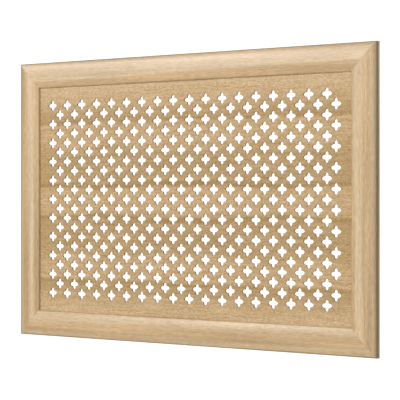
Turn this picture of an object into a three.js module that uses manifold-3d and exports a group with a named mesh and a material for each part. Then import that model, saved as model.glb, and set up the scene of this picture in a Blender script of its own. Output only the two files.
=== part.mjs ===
// Radiator screen: a thin sheet of hardboard, pierced all over with four-lobed
// holes, held in the grooves of a mitred frame of four rounded mouldings.
// Millimetres. +X runs to the right of a person facing the screen, -Y comes out
// of its front and +Z is up. The origin is the middle of the top rail's back
// face, where the screen is fixed.
import * as THREE from "three";
import { mergeVertices } from "three/addons/utils/BufferGeometryUtils.js";
import Module from "manifold-3d";

const wasm = await Module();
wasm.setup();

// Frame, over its outer edges
const frameWidth = 900;
const frameHeight = 600;

// Moulding, across its width, from the outer edge to the inner one
const railWidth = 55;
const crownPlace = 30; // from the outer edge to the crown
const edgeEase = 0.8; // the eased corner beside the sheet

// Moulding, up from its flat back
const backLip = 4.5; // behind the groove
const frontLip = 4.3; // before the groove, at the inner edge
const innerFall = 2.6; // the crown above the inner edge
const outerFall = 6.5; // the crown above the square part of the outer edge

// Sheet and the groove that holds it
const sheetThickness = 3;
const grooveDepth = 8;
const grooveFaceGap = 0.3; // on each face of the sheet
const grooveEdgeGap = 1; // between the sheet's edge and the bottom of the groove

// Mitres
const mitreGap = 0.3; // square to the cut

// Pierced pattern: staggered rows of four-lobed holes, centred in the opening
const holeSpan = 24; // from the tip of a lobe to the tip opposite
const tipGap = 17; // between the tips of neighbours in a row
const leastBorder = 22; // the narrowest unpierced border
const cutterOverrun = 1; // past each face of the sheet

const curveSegments = 6; // along the slope; the shoulder has twice as many

// Sizes that follow
const grooveWidth = sheetThickness + 2 * grooveFaceGap;
const grooveFront = backLip + grooveWidth;
const innerEdgeHeight = grooveFront + frontLip;
const railThickness = innerEdgeHeight + innerFall;
const outerEdgeHeight = railThickness - outerFall;
const holePitch = holeSpan + tipGap;
const openingWidth = frameWidth - 2 * railWidth;
const openingHeight = frameHeight - 2 * railWidth;
const frameTop = railWidth / 2;
const frameMiddle = frameTop - frameHeight / 2;

const oakFoil = new THREE.MeshStandardMaterial({
  name: "oak_foil",
  color: 0xd8bb92,
  roughness: 0.55,
  metalness: 0,
});
const oakSheet = new THREE.MeshStandardMaterial({
  name: "oak_sheet",
  color: 0xc4a373,
  roughness: 0.6,
  metalness: 0,
});

// The moulding's section: x from the outer edge inwards, y up from the back. A
// quarter of an ellipse rises from the outer edge to the crown, and a long slope
// falls from the crown to the inner edge, steepening as it goes.
function railSection() {
  const section = new THREE.Shape();
  section.moveTo(0, 0);
  section.lineTo(0, outerEdgeHeight);
  section.absellipse(
    crownPlace,
    outerEdgeHeight,
    crownPlace,
    outerFall,
    Math.PI,
    Math.PI / 2,
    true,
  );
  const slopeEnd = railWidth - edgeEase;
  const slopeMiddle = (crownPlace + slopeEnd) / 2;
  section.quadraticCurveTo(
    slopeMiddle,
    railThickness,
    slopeEnd,
    innerEdgeHeight,
  );
  section.lineTo(railWidth, innerEdgeHeight - edgeEase);
  section.lineTo(railWidth, grooveFront);
  section.lineTo(railWidth - grooveDepth, grooveFront);
  section.lineTo(railWidth - grooveDepth, backLip);
  section.lineTo(railWidth, backLip);
  section.lineTo(railWidth, 0);
  section.closePath();
  return section;
}

// A length of moulding, mitred at both ends, with its back face on Y = 0, its
// outer edge on Z = 0 and up, and its length centred on X.
function mitredRail(name, length) {
  const geometry = new THREE.ExtrudeGeometry(railSection(), {
    depth: length,
    curveSegments,
    bevelEnabled: false,
  });
  const setBack = mitreGap / Math.SQRT2;
  const position = geometry.getAttribute("position");
  for (let i = 0; i < position.count; i++) {
    const inwards = position.getX(i);
    const height = position.getY(i);
    const side = position.getZ(i) > length / 2 ? -1 : 1;
    const along = side * (length / 2 - inwards - setBack);
    position.setXYZ(i, along, -height, -inwards);
  }
  geometry.computeVertexNormals();
  const rail = new THREE.Mesh(geometry, oakFoil);
  rail.name = name;
  return rail;
}

// Puts a rail, made along the top, on another side of the frame.
function placeRail(rail, quarterTurns, fromMiddle) {
  rail.rotation.y = (quarterTurns * Math.PI) / 2;
  const away = new THREE.Vector3(0, 0, fromMiddle);
  away.applyEuler(rail.rotation);
  rail.position.set(away.x, 0, frameMiddle + away.z);
  return rail;
}

// A closed geometry as a solid that can be cut.
function solidFrom(geometry) {
  const bare = new THREE.BufferGeometry();
  const loose = geometry.index ? geometry.toNonIndexed() : geometry;
  bare.setAttribute("position", loose.getAttribute("position"));
  const merged = mergeVertices(bare);
  return new wasm.Manifold(
    new wasm.Mesh({
      numProp: 3,
      vertProperties: merged.getAttribute("position").array,
      triVerts: new Uint32Array(merged.index.array),
    }),
  );
}

// A solid back as a geometry with flat faces.
function geometryFrom(solid) {
  const mesh = solid.getMesh();
  const indexed = new THREE.BufferGeometry();
  indexed.setAttribute(
    "position",
    new THREE.BufferAttribute(mesh.vertProperties, mesh.numProp),
  );
  indexed.setIndex(new THREE.BufferAttribute(mesh.triVerts, 1));
  const flat = indexed.toNonIndexed();
  flat.computeVertexNormals();
  return flat;
}

// The cutter for one hole: a diamond bar whose corners are the tips of the four
// lobes, which takes out about as much as the lobes do.
function holeCutter(x, z) {
  const reach = holeSpan / 2;
  const diamond = new THREE.Shape([
    new THREE.Vector2(reach, 0),
    new THREE.Vector2(0, reach),
    new THREE.Vector2(-reach, 0),
    new THREE.Vector2(0, -reach),
  ]);
  const length = sheetThickness + 2 * cutterOverrun;
  const bar = new THREE.ExtrudeGeometry(diamond, {
    depth: length,
    bevelEnabled: false,
  });
  bar.translate(0, 0, -length / 2);
  bar.rotateX(Math.PI / 2);
  bar.translate(x, 0, z);
  return solidFrom(bar);
}

// Centres of the holes about the middle of the opening. Each row is half a
// pitch below the last and moved sideways by half a pitch, turn about.
function holeCentres() {
  const step = holePitch / 2;
  const stepsThatFit = (opening) =>
    Math.floor((opening - 2 * leastBorder - holeSpan) / step);
  const stepsAcross = stepsThatFit(openingWidth);
  const stepsDown = stepsThatFit(openingHeight);
  const centres = [];
  for (let row = 0; row <= stepsDown; row++) {
    for (let column = row % 2; column <= stepsAcross; column += 2) {
      const x = (column - stepsAcross / 2) * step;
      const z = (stepsDown / 2 - row) * step;
      centres.push([x, z]);
    }
  }
  return centres;
}

function piercedSheet() {
  const inGroove = grooveDepth - grooveEdgeGap;
  const blank = new THREE.BoxGeometry(
    openingWidth + 2 * inGroove,
    sheetThickness,
    openingHeight + 2 * inGroove,
  );
  let solid = solidFrom(blank);
  for (const [x, z] of holeCentres()) {
    solid = solid.subtract(holeCutter(x, z));
  }
  const sheet = new THREE.Mesh(geometryFrom(solid), oakSheet);
  sheet.name = "pierced_sheet";
  const middle = backLip + grooveWidth / 2;
  sheet.position.set(0, -middle, frameMiddle);
  return sheet;
}

const screen = new THREE.Group();
screen.name = "radiator_screen";
screen.add(
  placeRail(mitredRail("top_rail", frameWidth), 0, frameHeight / 2),
  placeRail(mitredRail("right_stile", frameHeight), 1, frameWidth / 2),
  placeRail(mitredRail("bottom_rail", frameWidth), 2, frameHeight / 2),
  placeRail(mitredRail("left_stile", frameHeight), 3, frameWidth / 2),
  piercedSheet(),
);

export default screen;
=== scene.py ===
import math

import bmesh
import bpy
from mathutils import Matrix, Vector


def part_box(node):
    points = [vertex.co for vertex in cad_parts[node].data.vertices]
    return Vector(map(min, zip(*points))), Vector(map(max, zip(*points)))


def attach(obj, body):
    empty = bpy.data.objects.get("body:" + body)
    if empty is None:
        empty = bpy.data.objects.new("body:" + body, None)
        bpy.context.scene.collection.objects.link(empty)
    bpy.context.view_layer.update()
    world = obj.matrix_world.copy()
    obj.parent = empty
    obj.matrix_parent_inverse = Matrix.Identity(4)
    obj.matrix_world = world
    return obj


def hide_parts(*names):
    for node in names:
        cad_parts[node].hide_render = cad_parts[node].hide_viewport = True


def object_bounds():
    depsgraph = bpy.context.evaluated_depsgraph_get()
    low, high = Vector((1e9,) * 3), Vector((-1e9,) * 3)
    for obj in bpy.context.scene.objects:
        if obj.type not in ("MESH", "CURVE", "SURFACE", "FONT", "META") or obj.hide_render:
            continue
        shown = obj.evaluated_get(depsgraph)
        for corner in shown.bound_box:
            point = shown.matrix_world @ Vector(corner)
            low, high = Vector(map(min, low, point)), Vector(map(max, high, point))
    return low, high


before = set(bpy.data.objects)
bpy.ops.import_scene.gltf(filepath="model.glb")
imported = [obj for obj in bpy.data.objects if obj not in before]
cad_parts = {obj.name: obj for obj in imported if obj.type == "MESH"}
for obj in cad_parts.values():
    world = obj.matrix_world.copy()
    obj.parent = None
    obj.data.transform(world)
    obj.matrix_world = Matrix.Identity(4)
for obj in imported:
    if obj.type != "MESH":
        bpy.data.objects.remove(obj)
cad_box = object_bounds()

MM = 0.001
MERGE_DISTANCE = 0.01 * MM
BACK_TOLERANCE = 0.1 * MM
SMOOTH_BELOW = math.radians(30)

# Sizes read from the frame
RAIL_LOW, RAIL_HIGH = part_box("top_rail")
SHEET_LOW, SHEET_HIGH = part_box("pierced_sheet")
FRAME_LOW, FRAME_HIGH = cad_box
FRAME_WIDTH = FRAME_HIGH[0] - FRAME_LOW[0]
FRAME_HEIGHT = FRAME_HIGH[2] - FRAME_LOW[2]
FRAME_MIDDLE = (FRAME_HIGH[2] + FRAME_LOW[2]) / 2
RAIL_WIDTH = RAIL_HIGH.z - RAIL_LOW.z
RAIL_THICKNESS = RAIL_HIGH.y - RAIL_LOW.y
SHEET_IN_GROOVE = (SHEET_HIGH.x - SHEET_LOW.x - FRAME_WIDTH) / 2 + RAIL_WIDTH

# The moulding's section
CROWN_PLACE = 30 * MM  # from the outer edge to the crown
OUTER_FALL = 6.5 * MM  # the crown above the square part of the outer edge
INNER_FALL = 2.6 * MM  # the crown above the inner edge
EDGE_EASE = 1.6 * MM  # the eased corner beside the sheet
ARRIS_HEIGHT = RAIL_THICKNESS - OUTER_FALL  # the top of the square part of the outer edge
GROOVE_FACE_GAP = 0.1 * MM
GROOVE_EDGE_GAP = 1 * MM
MITRE_GAP = 0.1 * MM
FOIL_LAP = 7 * MM  # the foil's margin on the back
SHOULDER_STEPS = 14
SLOPE_STEPS = 8

# The pierced pattern
HOLE_PITCH = 41 * MM  # between neighbours in a row
HOLE_REACH = 12 * MM  # from a hole's middle to the tip of a lobe
LOBE_HALF_WIDTH = 4.3 * MM
LOBE_SPRING = 5.8 * MM  # from a hole's middle to where a lobe starts to narrow
LOBE_NARROWING = HOLE_REACH - LOBE_SPRING
LOBE_ARC_RADIUS = (LOBE_NARROWING ** 2 + LOBE_HALF_WIDTH ** 2) / (2 * LOBE_HALF_WIDTH)
LOBE_ARC_STEPS = 3
HOLES_IN_ROW = 18
FULL_ROWS = 11  # the ten rows between them are moved sideways by half a pitch

# The mouldings' foil: bands by distance in mm from the back, up the outer side and over the front
FOIL_REACH = 80 * MM
LIGHT_OAK = (0.55, 0.402, 0.236)
OAK = (0.52, 0.367, 0.202)
DEEP_OAK = (0.477, 0.32, 0.16)
FOIL_BANDS = (
    (18, OAK), (24, DEEP_OAK), (39, DEEP_OAK), (45, OAK),
    (50, LIGHT_OAK), (57, LIGHT_OAK), (61, DEEP_OAK),
)
BAND_DRIFT = 16 * MM
BAND_DRIFT_NOISE = {"scale": (2.2, 12), "detail": 1, "roughness": 0.4}
BAND_CLOUDS = 0.7
BAND_CLOUD_NOISE = {"scale": (2.6, 60), "detail": 2}
LONG_GRAIN = (0.4, 1, 1)  # the mouldings' grain is drawn out along them
FOIL_ROUGHNESS = 0.44
FOIL_SPECULAR = 0.7

# The painted shade along the arris between a moulding's outer side and its front, where the roughness is
# raised too
ARRIS_SHADE_BROWN = (0.13, 0.088, 0.02, 1)
ARRIS_SHADE_STARTS_BELOW = 1.5 * MM
ARRIS_SHADE_FULL_BELOW = 0.3 * MM
ARRIS_SHADE_DULLING = 0.4

# The sheet's figure: colours by distance in mm above and below its middle line. Its lines and bands are
# print; its pale ends make the sheet paler along its top and bottom margins, beside the rails
FIGURE_MIDDLE = (3 * MM, 0, FRAME_MIDDLE - 5 * MM)
FIGURE_REACH = 250 * MM
PALE = (0.53, 0.376, 0.216)
TAN = (0.47, 0.319, 0.162)
BROWN = (0.40, 0.266, 0.122)
LINE = (0.34, 0.215, 0.083)
FIGURE = (
    (0, TAN), (27, TAN), (34, LINE), (37, LINE), (44, BROWN), (100, BROWN), (125, TAN),
    (162, TAN), (169, LINE), (172, BROWN), (184, BROWN), (205, TAN), (250, PALE),
)
FIGURE_SWAY = 30 * MM
FIGURE_SWAY_NOISE = {"scale": (7, 9), "detail": 2}
SHEET_ROUGHNESS = 0.65
SHEET_SPECULAR = 0.2

# Oak grain: a noise's scale is along the grain and across it, per metre
STREAK_NOISE = {"scale": (8, 180), "detail": 4, "roughness": 0.62}
FLECK_NOISE = {"scale": (170, 500), "detail": 2, "distortion": 0.6}
PORE_NOISE = {"scale": (45, 1000), "detail": 2, "roughness": 0.6}
NOISE_LOW = 0.3  # noise seldom goes below this, or above the next
NOISE_HIGH = 0.7
PORE_FROM = 0.58
PORE_FULL = 0.68
PORE_BROWN = (0.15, 0.08, 0.03, 1)
PALER_WHERE_LIGHT = 0.6
GRAIN_ROUGHNESS = 0.04
GRAIN_BUMP = 0.12
GRAIN_DEPTH = 0.2 * MM

# Bare board
BOARD_CLOUD_NOISE = {"scale": (60, 60), "detail": 3}
FIBRE_NOISE = {"scale": (900, 2600), "detail": 3, "roughness": 0.7}
CLOUD_SHARE = 0.6
CORE_LIGHT = (0.42, 0.30, 0.19, 1)
CORE_DARK = (0.30, 0.20, 0.12, 1)
HARDBOARD_LIGHT = (0.24, 0.15, 0.08, 1)
HARDBOARD_DARK = (0.16, 0.095, 0.045, 1)
BOARD_ROUGHNESS = 0.85
BOARD_SPECULAR = 0.25
BOARD_BUMP = 0.3
BOARD_DEPTH = 0.15 * MM

# The stage is seen as plain white, and lights the screen less
WHITE = (1, 1, 1, 1)
STAGE_SEEN = 1.1
AMBIENT = 0.14
FLOOR_GREY = (0.7, 0.7, 0.7, 1)
FLOOR_HALF_SIZE = 8
FLOOR_DROP = 0.6

# The lamps: azimuth and elevation in degrees, distance and size in metres, and power in watts
LAMPS = (
    ("key", -37, 23, 7.0, 0.8, 307),
    ("front_fill", 25, 10, 6.0, 4.0, 185),
    ("back_fill", 165, 25, 3.0, 1.5, 60),
)

# The camera is level and 3.1 m from the middle of the screen
CAMERA_PLACE = Vector((1.8411, -2.5438, FRAME_MIDDLE + 0.0062))
CAMERA_TURN = math.radians(35.405)
CAMERA_LENS = 136.98
CAMERA_SHIFT_Y = -0.009


# Meshes

def everything(bm):
    return bm.verts[:] + bm.edges[:] + bm.faces[:]


def extrude(bm, faces, vec):
    """Grows faces along a vector into a closed solid."""
    grown = bmesh.ops.extrude_face_region(bm, geom=faces, use_keep_orig=True)
    far_side = [item for item in grown["geom"] if isinstance(item, bmesh.types.BMVert)]
    bmesh.ops.translate(bm, vec=vec, verts=far_side)


def finish_piece(bm, name, materials):
    """Makes an object of a bmesh that is already in its place."""
    mesh = bpy.data.meshes.new(name)
    bm.to_mesh(mesh)
    bm.free()
    for material in materials:
        mesh.materials.append(material)
    for polygon in mesh.polygons:
        polygon.use_smooth = True
    mesh.set_sharp_from_angle(angle=SMOOTH_BELOW)
    piece = bpy.data.objects.new(name, mesh)
    bpy.context.scene.collection.objects.link(piece)
    return piece


# The mouldings

def section_face(bm):
    """The moulding's section on the plane X = 0: its back on Y = 0, its outer edge on Z = 0 and up."""
    inner_edge = RAIL_THICKNESS - INNER_FALL
    groove_back = -SHEET_HIGH.y - GROOVE_FACE_GAP
    groove_front = -SHEET_LOW.y + GROOVE_FACE_GAP
    groove_bottom = RAIL_WIDTH - SHEET_IN_GROOVE - GROOVE_EDGE_GAP

    # A quarter turn about the crown's foot, squashed to the fall of the shoulder
    start = bm.verts.new((0, -ARRIS_HEIGHT, 0))
    turned = bmesh.ops.spin(
        bm, geom=[start], cent=(0, -ARRIS_HEIGHT, -CROWN_PLACE), axis=(1, 0, 0),
        angle=math.pi / 2, steps=SHOULDER_STEPS,
    )
    crown = turned["geom_last"][0]
    bmesh.ops.scale(
        bm, vec=(1, OUTER_FALL / CROWN_PLACE, 1), verts=bm.verts[:],
        space=Matrix.Translation((0, ARRIS_HEIGHT, CROWN_PLACE)),
    )

    # A parabola that leaves the crown level and ends at the eased inner corner
    slope_run = RAIL_WIDTH - EDGE_EASE - CROWN_PLACE
    last = crown
    for step in range(1, SLOPE_STEPS + 1):
        share = step / SLOPE_STEPS
        height = RAIL_THICKNESS - INNER_FALL * share ** 2
        point = bm.verts.new((0, -height, -CROWN_PLACE - slope_run * share))
        bm.edges.new((last, point))
        last = point

    # The rest is straight
    corners = [
        (-RAIL_WIDTH, inner_edge - EDGE_EASE),
        (-RAIL_WIDTH, groove_front),
        (-groove_bottom, groove_front),
        (-groove_bottom, groove_back),
        (-RAIL_WIDTH, groove_back),
        (-RAIL_WIDTH, 0),
        (FOIL_LAP - RAIL_WIDTH, 0),
        (-FOIL_LAP, 0),
        (0, 0),
    ]
    for z, height in corners:
        corner = bm.verts.new((0, -height, z))
        bm.edges.new((last, corner))
        last = corner
    bm.edges.new((last, start))
    return bmesh.ops.contextual_create(bm, geom=bm.edges[:])["faces"]


def mitre(bm, end):
    """Cuts one end of a moulding at 45 degrees, end being -1 or 1, and closes the cut."""
    half_length = max(abs(vert.co.x) for vert in bm.verts)
    cut = bmesh.ops.bisect_plane(
        bm, geom=everything(bm),
        plane_co=(end * (half_length - MITRE_GAP / math.sqrt(2)), 0, 0),
        plane_no=(end, 0, -1), clear_outer=True,
    )
    edges = [item for item in cut["geom_cut"] if isinstance(item, bmesh.types.BMEdge)]
    bmesh.ops.contextual_create(bm, geom=edges)


def wears_foil(face):
    """True where the foil covers a moulding: its front, its two sides and a lap on the back."""
    middle = face.calc_center_median()
    is_mitre = abs(face.normal.x) > 0.5
    if is_mitre:
        return False
    if middle.y > -BACK_TOLERANCE:
        return not FOIL_LAP - RAIL_WIDTH < middle.z < -FOIL_LAP
    as_high_as_groove = -SHEET_HIGH.y - MM < -middle.y < -SHEET_LOW.y + MM
    in_inner_half = middle.z < -RAIL_WIDTH / 2
    is_inner_side = face.normal.z < -0.9
    return not (as_high_as_groove and in_inner_half and not is_inner_side)


def lay_foil(bm, length, foil_cut, laps, arris_shade):
    """Gives each vertex its place on the foil: along the rail, round its section, and the cut."""
    foil_place = bm.verts.layers.float_vector.new("foil_place")
    foil_lap_and_shade = bm.verts.layers.float_vector.new("foil_lap_and_shade")
    lap_from, lap_to = laps
    shade_reach, shade_share = arris_shade
    for vert in bm.verts:
        inwards = -vert.co.z
        height = -vert.co.y if inwards < CROWN_PLACE else RAIL_THICKNESS
        vert[foil_place] = Vector((vert.co.x, inwards + height, foil_cut))
        # The lap, and the reach and darkness of the painted shade at the outer arris
        lap = (lap_from + lap_to) / 2 + (lap_to - lap_from) * vert.co.x / length
        vert[foil_lap_and_shade] = Vector((lap, shade_reach, shade_share))
    for face in bm.faces:
        face.material_index = 0 if wears_foil(face) else 1


def make_rail(name, length, quarter_turns, foil_cut, laps, arris_shade, materials):
    """A mitred length of moulding, made along the top of the frame and turned to its own side.

    The foil cut is the stretch of foil that it wears, laps are how far the foil is moved round the
    section at its two ends, and the last is how far the painted shade at its outer arris reaches and how
    dark it is.
    """
    bm = bmesh.new()
    extrude(bm, section_face(bm), (length, 0, 0))
    bmesh.ops.translate(bm, vec=(-length / 2, 0, 0), verts=bm.verts[:])
    mitre(bm, -1)
    mitre(bm, 1)
    bmesh.ops.recalc_face_normals(bm, faces=bm.faces[:])
    lay_foil(bm, length, foil_cut, laps, arris_shade)

    across = FRAME_HEIGHT if quarter_turns % 2 == 0 else FRAME_WIDTH
    bmesh.ops.translate(bm, vec=(0, 0, across / 2), verts=bm.verts[:])
    turn = Matrix.Rotation(quarter_turns * math.pi / 2, 3, "Y")
    bmesh.ops.rotate(bm, cent=(0, 0, 0), matrix=turn, verts=bm.verts[:])
    bmesh.ops.translate(bm, vec=(0, 0, FRAME_MIDDLE), verts=bm.verts[:])
    rail = finish_piece(bm, name + "_foil_wrapped", materials)
    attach(rail, "root")
    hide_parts(name)


# The pierced sheet

def lobe_arc(bm, spring, centre, turn):
    """The curved side of a lobe, from where it springs to its tip. Returns its two end points."""
    start = bm.verts.new(spring)
    arc = bmesh.ops.spin(
        bm, geom=[start], cent=centre, axis=(0, turn, 0),
        angle=math.asin(LOBE_NARROWING / LOBE_ARC_RADIUS), steps=LOBE_ARC_STEPS,
    )
    return start, arc["geom_last"][0]


def tile_quarter(bm):
    """A quarter of a square tile with a hole in its middle, the tile's corners on the X and Z axes."""
    inset = LOBE_HALF_WIDTH - LOBE_ARC_RADIUS
    spring_x, tip_x = lobe_arc(
        bm, (LOBE_SPRING, 0, LOBE_HALF_WIDTH), (LOBE_SPRING, 0, inset), 1)
    spring_z, tip_z = lobe_arc(
        bm, (LOBE_HALF_WIDTH, 0, LOBE_SPRING), (inset, 0, LOBE_SPRING), -1)
    notch = bm.verts.new((LOBE_HALF_WIDTH, 0, LOBE_HALF_WIDTH))
    corner_x = bm.verts.new((HOLE_PITCH / 2, 0, 0))
    corner_z = bm.verts.new((0, 0, HOLE_PITCH / 2))
    for pair in (
        (spring_x, notch), (notch, spring_z), (tip_z, corner_z),
        (corner_z, corner_x), (corner_x, tip_x),
    ):
        bm.edges.new(pair)
    bmesh.ops.contextual_create(bm, geom=bm.edges[:])


def repeat(bm, step, copies):
    """Copies all that a bmesh holds in a straight line."""
    bmesh.ops.spin(
        bm, geom=everything(bm), cent=(0, 0, 0), axis=(0, 1, 0), dvec=step,
        angle=0, steps=copies - 1, use_duplicate=True,
    )


def pierced_rows(first_hole, rows):
    """Tiles in even rows, a full pitch apart, with the first hole at the upper left."""
    bm = bmesh.new()
    tile_quarter(bm)
    bmesh.ops.spin(
        bm, geom=everything(bm), cent=(0, 0, 0), axis=(0, 1, 0),
        angle=math.radians(270), steps=3, use_duplicate=True,
    )
    repeat(bm, (HOLE_PITCH, 0, 0), HOLES_IN_ROW)
    repeat(bm, (0, 0, -HOLE_PITCH), rows)
    bmesh.ops.translate(bm, vec=first_hole, verts=bm.verts[:])
    mesh = bpy.data.meshes.new("pierced_rows")
    bm.to_mesh(mesh)
    bm.free()
    return mesh


def add_pattern(bm):
    """Two sets of rows, each filling the gaps between the other's tiles."""
    half = HOLE_PITCH / 2
    left = -(HOLES_IN_ROW - 0.5) * half
    top = (FULL_ROWS - 1) * half
    for first_hole, rows in (
        ((left, 0, top), FULL_ROWS),
        ((left + half, 0, top - half), FULL_ROWS - 1),
    ):
        rows_mesh = pierced_rows(first_hole, rows)
        bm.from_mesh(rows_mesh)
        bpy.data.meshes.remove(rows_mesh)
    bmesh.ops.remove_doubles(bm, verts=bm.verts[:], dist=MERGE_DISTANCE)


def add_border(bm):
    """Fills from the pattern's zigzag edge, which is made of whole sides of tiles, to the sheet's rim."""
    side = HOLE_PITCH / math.sqrt(2)
    zigzag = [
        edge for edge in bm.edges if edge.is_boundary and edge.calc_length() > 0.9 * side]
    half_width = (SHEET_HIGH.x - SHEET_LOW.x) / 2
    half_height = (SHEET_HIGH.z - SHEET_LOW.z) / 2
    to_size = Matrix.Diagonal((half_width, 1, half_height, 1))
    rim = bmesh.ops.create_grid(
        bm, x_segments=1, y_segments=1, size=1,
        matrix=to_size @ Matrix.Rotation(math.pi / 2, 4, "X"),
    )
    rim_edges = list({edge for vert in rim["verts"] for edge in vert.link_edges})
    rim_faces = list({face for vert in rim["verts"] for face in vert.link_faces})
    bmesh.ops.delete(bm, geom=rim_faces, context="FACES_ONLY")
    bmesh.ops.triangle_fill(bm, use_beauty=True, edges=zigzag + rim_edges)


def make_sheet(materials):
    """The pierced sheet, foil on its front and bare board everywhere else."""
    bm = bmesh.new()
    add_pattern(bm)
    add_border(bm)
    bmesh.ops.translate(bm, vec=(0, SHEET_LOW.y, FRAME_MIDDLE), verts=bm.verts[:])
    extrude(bm, bm.faces[:], (0, SHEET_HIGH.y - SHEET_LOW.y, 0))
    bmesh.ops.recalc_face_normals(bm, faces=bm.faces[:])
    for face in bm.faces:
        face.material_index = 0 if face.normal.y < -0.5 else 1
    sheet = finish_piece(bm, "pierced_oak_sheet", materials)
    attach(sheet, "root")
    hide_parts("pierced_sheet")


# Node helpers

def fill_inputs(tree, node, values):
    """Links each input that is given a socket, and sets any other to its plain value."""
    for key, value in values.items():
        if isinstance(value, bpy.types.NodeSocket):
            tree.links.new(value, node.inputs[key])
        else:
            node.inputs[key].default_value = value


def add_node(tree, kind, values=None, **settings):
    """Adds a node with its settings, and then with its inputs by name or number."""
    node = tree.nodes.new(kind)
    for key, value in settings.items():
        setattr(node, key, value)
    fill_inputs(tree, node, values or {})
    return node


def new_group(name, inputs, outputs):
    """A shader node group with named sockets. Returns the tree, its inputs and its output node."""
    tree = bpy.data.node_groups.new(name, "ShaderNodeTree")
    for socket_name, kind in inputs.items():
        tree.interface.new_socket(
            socket_name, in_out="INPUT", socket_type="NodeSocket" + kind)
    for socket_name, kind in outputs.items():
        tree.interface.new_socket(
            socket_name, in_out="OUTPUT", socket_type="NodeSocket" + kind)
    given = tree.nodes.new("NodeGroupInput").outputs
    return tree, given, tree.nodes.new("NodeGroupOutput")


def calculate(tree, operation, first, second, third=0.0):
    values = {0: first, 1: second, 2: third}
    return add_node(tree, "ShaderNodeMath", values, operation=operation).outputs[0]


def calculate_vector(tree, operation, first, second=(0, 0, 0)):
    values = {0: first, 1: second}
    return add_node(tree, "ShaderNodeVectorMath", values, operation=operation).outputs[0]


def split(tree, vector):
    """A vector's X, Y and Z."""
    return add_node(tree, "ShaderNodeSeparateXYZ", {"Vector": vector}).outputs[:]


def stretched_noise(tree, place, scale, detail, roughness=0.5, distortion=0.0):
    """Noise drawn out along the grain: scale is along it and then across it, per metre."""
    along, across = scale
    drawn = calculate_vector(tree, "MULTIPLY", place, (along, across, across))
    values = {
        "Vector": drawn, "Scale": 1.0, "Detail": detail,
        "Roughness": roughness, "Distortion": distortion,
    }
    return add_node(tree, "ShaderNodeTexNoise", values).outputs["Fac"]


def swing(tree, noise, size, about):
    """Noise that swings by a size about a value."""
    return calculate(tree, "MULTIPLY_ADD", calculate(tree, "SUBTRACT", noise, 0.5), size, about)


def remap(tree, value, low, high, to_low=0.0, to_high=1.0, kind="LINEAR"):
    values = {
        "Value": value, "From Min": low, "From Max": high, "To Min": to_low, "To Max": to_high}
    return add_node(tree, "ShaderNodeMapRange", values, interpolation_type=kind).outputs[0]


def mix_colour(tree, share, first, second):
    values = {0: share, 6: first, 7: second}
    return add_node(tree, "ShaderNodeMix", values, data_type="RGBA").outputs[2]


def tone_colour(tree, colour, saturation, brightness):
    values = {"Color": colour, "Saturation": saturation, "Value": brightness}
    return add_node(tree, "ShaderNodeHueSaturation", values).outputs[0]


def colour_ramp(tree, distance, stops, reach):
    """Colours by distance: each stop is a distance in mm and a colour, and reach is in metres."""
    share = calculate(tree, "DIVIDE", distance, reach)
    ramp = add_node(tree, "ShaderNodeValToRGB", {"Fac": share})
    elements = ramp.color_ramp.elements
    for number, (place, colour) in enumerate(stops):
        position = place * MM / reach
        element = elements[number] if number < len(elements) else elements.new(position)
        element.position = position
        element.color = (*colour, 1)
    return ramp.outputs[0]


def bump(tree, height, strength, depth):
    values = {"Strength": strength, "Distance": depth, "Height": height}
    return add_node(tree, "ShaderNodeBump", values).outputs[0]


# Shared effects

def oak_grain_group():
    """Oak printed on foil: streaks, flecks and pores on a base colour. Place has X along the grain."""
    tree, given, out = new_group(
        "Oak grain",
        {"Place": "Vector", "Base": "Color", "Streaks": "Float", "Flecks": "Float", "Pores": "Float"},
        {"Color": "Color", "Height": "Float", "Roughness": "Float"},
    )
    streaks = stretched_noise(tree, given["Place"], **STREAK_NOISE)
    flecks = stretched_noise(tree, given["Place"], **FLECK_NOISE)
    pores = stretched_noise(tree, given["Place"], **PORE_NOISE)

    # Light streaks and flecks are paler as well
    streaked = swing(tree, streaks, given["Streaks"], 1.0)
    brightness = swing(tree, flecks, given["Flecks"], streaked)
    saturation = calculate(
        tree, "MULTIPLY_ADD", brightness, -PALER_WHERE_LIGHT, 1 + PALER_WHERE_LIGHT)
    toned = tone_colour(tree, given["Base"], saturation, brightness)

    pore_mask = remap(tree, pores, PORE_FROM, PORE_FULL)
    pore_share = calculate(tree, "MULTIPLY", pore_mask, given["Pores"])
    fill_inputs(tree, out, {
        "Color": mix_colour(tree, pore_share, toned, PORE_BROWN),
        "Height": calculate(tree, "SUBTRACT", streaks, pore_mask),
        "Roughness": remap(
            tree, streaks, NOISE_LOW, NOISE_HIGH, -GRAIN_ROUGHNESS, GRAIN_ROUGHNESS),
    })
    return tree


def board_group():
    """Pressed wood fibre, as in a moulding's core and inside the sheet's holes."""
    tree, given, out = new_group(
        "Pressed fibre",
        {"Place": "Vector", "Light": "Color", "Dark": "Color"},
        {"Color": "Color", "Height": "Float"},
    )
    clouds = stretched_noise(tree, given["Place"], **BOARD_CLOUD_NOISE)
    fibre = stretched_noise(tree, given["Place"], **FIBRE_NOISE)
    cloudy = remap(tree, clouds, NOISE_LOW, NOISE_HIGH, 0.0, CLOUD_SHARE)
    fibrous = remap(tree, fibre, NOISE_LOW, NOISE_HIGH, 0.0, 1 - CLOUD_SHARE)
    share = calculate(tree, "ADD", cloudy, fibrous)
    fill_inputs(tree, out, {
        "Color": mix_colour(tree, share, given["Light"], given["Dark"]),
        "Height": fibre,
    })
    return tree


# Materials

def new_material(name):
    material = bpy.data.materials.new(name)
    material.use_nodes = True
    tree = material.node_tree
    return material, tree, tree.nodes["Principled BSDF"]


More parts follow.
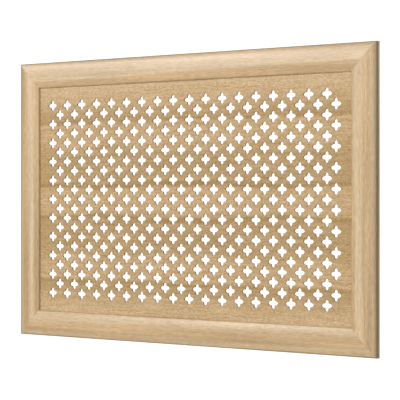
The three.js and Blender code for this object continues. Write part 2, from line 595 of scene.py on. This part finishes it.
def foil_bands(tree, place, round_section):
    """The foil's broad bands, which run along a rail and drift a little, with clouds over them."""
    drift = stretched_noise(tree, place, **BAND_DRIFT_NOISE)
    drifted = swing(tree, drift, BAND_DRIFT, round_section)
    printed = colour_ramp(tree, drifted, FOIL_BANDS, FOIL_REACH)
    clouds = stretched_noise(tree, place, **BAND_CLOUD_NOISE)
    return tone_colour(tree, printed, 1.0, swing(tree, clouds, BAND_CLOUDS, 1.0))


def painted_arris_shade(tree, round_section, reach, share):
    """How much painted shade a moulding gets, from just below its outer arris to its reach on the front.
    """
    side = remap(
        tree, round_section, ARRIS_HEIGHT - ARRIS_SHADE_STARTS_BELOW, ARRIS_HEIGHT - ARRIS_SHADE_FULL_BELOW)
    front_end = calculate(tree, "ADD", reach, ARRIS_HEIGHT)
    front = remap(tree, round_section, ARRIS_HEIGHT, front_end, 1.0, 0.0, "SMOOTHSTEP")
    return calculate(tree, "MULTIPLY", calculate(tree, "MULTIPLY", side, front), share)


def rail_foil(oak_grain):
    """Light oak foil on the mouldings. It runs along each rail and round its section."""
    material, tree, shader = new_material("oak_foil_on_moulding")
    place = add_node(tree, "ShaderNodeAttribute", attribute_name="foil_place").outputs["Vector"]
    lap_and_shade = add_node(tree, "ShaderNodeAttribute", attribute_name="foil_lap_and_shade").outputs["Vector"]
    round_section = split(tree, place)[1]
    lap, shade_reach, shade_share = split(tree, lap_and_shade)

    bands = foil_bands(tree, place, calculate(tree, "ADD", round_section, lap))
    # Painted shade along the outer arris and the shoulder beside it: the foil's colour is mixed towards
    # brown there, and its roughness is raised
    arris_shade = painted_arris_shade(tree, round_section, shade_reach, shade_share)
    grain = add_node(tree, "ShaderNodeGroup", {
        "Place": calculate_vector(tree, "MULTIPLY", place, LONG_GRAIN),
        "Base": mix_colour(tree, arris_shade, bands, ARRIS_SHADE_BROWN),
        "Streaks": 0.45,
        "Flecks": 0.66,
        "Pores": 0.35,
    }, node_tree=oak_grain).outputs
    dulled = calculate(tree, "MULTIPLY_ADD", arris_shade, ARRIS_SHADE_DULLING, FOIL_ROUGHNESS)
    fill_inputs(tree, shader, {
        "Base Color": grain["Color"],
        "Roughness": calculate(tree, "ADD", grain["Roughness"], dulled),
        "Specular IOR Level": FOIL_SPECULAR,
        "Normal": bump(tree, grain["Height"], GRAIN_BUMP, GRAIN_DEPTH),
    })
    return material


def sheet_foil(oak_grain):
    """Oak foil on the sheet, with a figure that is matched both ways from the middle."""
    material, tree, shader = new_material("oak_foil_on_sheet")
    place = add_node(tree, "ShaderNodeTexCoord").outputs["Object"]
    from_middle = calculate_vector(tree, "SUBTRACT", place, FIGURE_MIDDLE)
    mirrored = calculate_vector(tree, "ABSOLUTE", from_middle)
    aside, _, above = split(tree, mirrored)
    sway = stretched_noise(tree, mirrored, **FIGURE_SWAY_NOISE)
    swayed = swing(tree, sway, FIGURE_SWAY, above)
    grain = add_node(tree, "ShaderNodeGroup", {
        "Place": add_node(tree, "ShaderNodeCombineXYZ", {"X": aside, "Z": swayed}).outputs[0],
        "Base": colour_ramp(tree, swayed, FIGURE, FIGURE_REACH),
        "Streaks": 0.85,
        "Flecks": 1.06,
        "Pores": 0.45,
    }, node_tree=oak_grain).outputs
    fill_inputs(tree, shader, {
        "Base Color": grain["Color"],
        "Roughness": calculate(tree, "ADD", grain["Roughness"], SHEET_ROUGHNESS),
        "Specular IOR Level": SHEET_SPECULAR,
        "Normal": bump(tree, grain["Height"], GRAIN_BUMP, GRAIN_DEPTH),
    })
    return material


def bare_board(fibre, name, light, dark):
    material, tree, shader = new_material(name)
    place = add_node(tree, "ShaderNodeTexCoord").outputs["Object"]
    values = {"Place": place, "Light": light, "Dark": dark}
    board = add_node(tree, "ShaderNodeGroup", values, node_tree=fibre).outputs
    fill_inputs(tree, shader, {
        "Base Color": board["Color"],
        "Roughness": BOARD_ROUGHNESS,
        "Specular IOR Level": BOARD_SPECULAR,
        "Normal": bump(tree, board["Height"], BOARD_BUMP, BOARD_DEPTH),
    })
    return material


# Stage, light and camera

def camera_only(tree, output_kind, seen, hidden):
    """Shows the camera one shader directly, and gives all other light another."""
    straight = add_node(tree, "ShaderNodeLightPath").outputs["Is Camera Ray"]
    mix = add_node(tree, "ShaderNodeMixShader", {0: straight, 1: hidden, 2: seen}).outputs[0]
    add_node(tree, output_kind, {"Surface": mix})


def make_floor():
    bm = bmesh.new()
    bmesh.ops.create_grid(bm, x_segments=1, y_segments=1, size=FLOOR_HALF_SIZE)
    bmesh.ops.translate(bm, vec=(0, 0, FRAME_LOW[2] - FLOOR_DROP), verts=bm.verts[:])
    material = bpy.data.materials.new("pale_floor")
    material.use_nodes = True
    tree = material.node_tree
    tree.nodes.clear()
    glow = {"Color": WHITE, "Strength": STAGE_SEEN}
    seen = add_node(tree, "ShaderNodeEmission", glow).outputs[0]
    hidden = add_node(tree, "ShaderNodeBsdfDiffuse", {"Color": FLOOR_GREY}).outputs[0]
    camera_only(tree, "ShaderNodeOutputMaterial", seen, hidden)
    floor = finish_piece(bm, "floor", [material])


def make_world():
    world = bpy.data.worlds.new("studio")
    world.use_nodes = True
    tree = world.node_tree
    tree.nodes.clear()
    glow = {"Color": WHITE, "Strength": STAGE_SEEN}
    light = {"Color": WHITE, "Strength": AMBIENT}
    seen = add_node(tree, "ShaderNodeBackground", glow).outputs[0]
    hidden = add_node(tree, "ShaderNodeBackground", light).outputs[0]
    camera_only(tree, "ShaderNodeOutputWorld", seen, hidden)
    bpy.context.scene.world = world


def soft_light(name, azimuth, elevation, distance, size, power):
    """A square lamp that looks at the middle of the screen. Azimuth 0 is straight before it."""
    azimuth = math.radians(azimuth)
    elevation = math.radians(elevation)
    away = Vector((
        math.sin(azimuth) * math.cos(elevation),
        -math.cos(azimuth) * math.cos(elevation),
        math.sin(elevation),
    ))
    lamp = bpy.data.lights.new(name, "AREA")
    lamp.energy = power
    lamp.size = size
    light = bpy.data.objects.new(name, lamp)
    light.location = Vector((0, 0, FRAME_MIDDLE)) + away * distance
    light.rotation_euler = away.to_track_quat("Z", "Y").to_euler()
    bpy.context.scene.collection.objects.link(light)


def make_camera():
    lens = bpy.data.cameras.new("camera")
    lens.lens = CAMERA_LENS
    lens.shift_y = CAMERA_SHIFT_Y
    camera = bpy.data.objects.new("camera", lens)
    camera.location = CAMERA_PLACE
    camera.rotation_euler = (math.pi / 2, 0, CAMERA_TURN)
    bpy.context.scene.collection.objects.link(camera)
    bpy.context.scene.camera = camera


oak_grain = oak_grain_group()
fibre = board_group()
core = bare_board(fibre, "bare_moulding_core", CORE_LIGHT, CORE_DARK)
hardboard = bare_board(fibre, "bare_hardboard", HARDBOARD_LIGHT, HARDBOARD_DARK)
rail_materials = [rail_foil(oak_grain), core]
# The laps move the printed bands round each rail: the bottom rail's lay the pale band on its
# upward-facing inner slope, and the top rail's widen the deep band on its downward-facing inner slope;
# this is painted light and painted shade over the print
for rail_name, rail_length, quarter_turns, foil_cut, laps, arris_shade in (
    # The last pair of each rail: how far the painted shade at its outer arris reaches, and how dark it is
    ("top_rail", FRAME_WIDTH, 0, 6.05, (0, 8 * MM), (5 * MM, 1.0)),
    ("right_stile", FRAME_HEIGHT, 1, 3.95, (-6 * MM, 2 * MM), (16 * MM, 0.7)),
    ("bottom_rail", FRAME_WIDTH, 2, 15.15, (-12 * MM, -6 * MM), (7 * MM, 1.0)),
    ("left_stile", FRAME_HEIGHT, 3, 8.85, (-5 * MM, 9 * MM), (15 * MM, 1.0)),
):
    make_rail(rail_name, rail_length, quarter_turns, foil_cut, laps, arris_shade, rail_materials)
make_sheet([sheet_foil(oak_grain), hardboard])

make_floor()
make_world()
for lamp_settings in LAMPS:
    soft_light(*lamp_settings)
make_camera()
bpy.context.scene.view_settings.view_transform = "Standard"
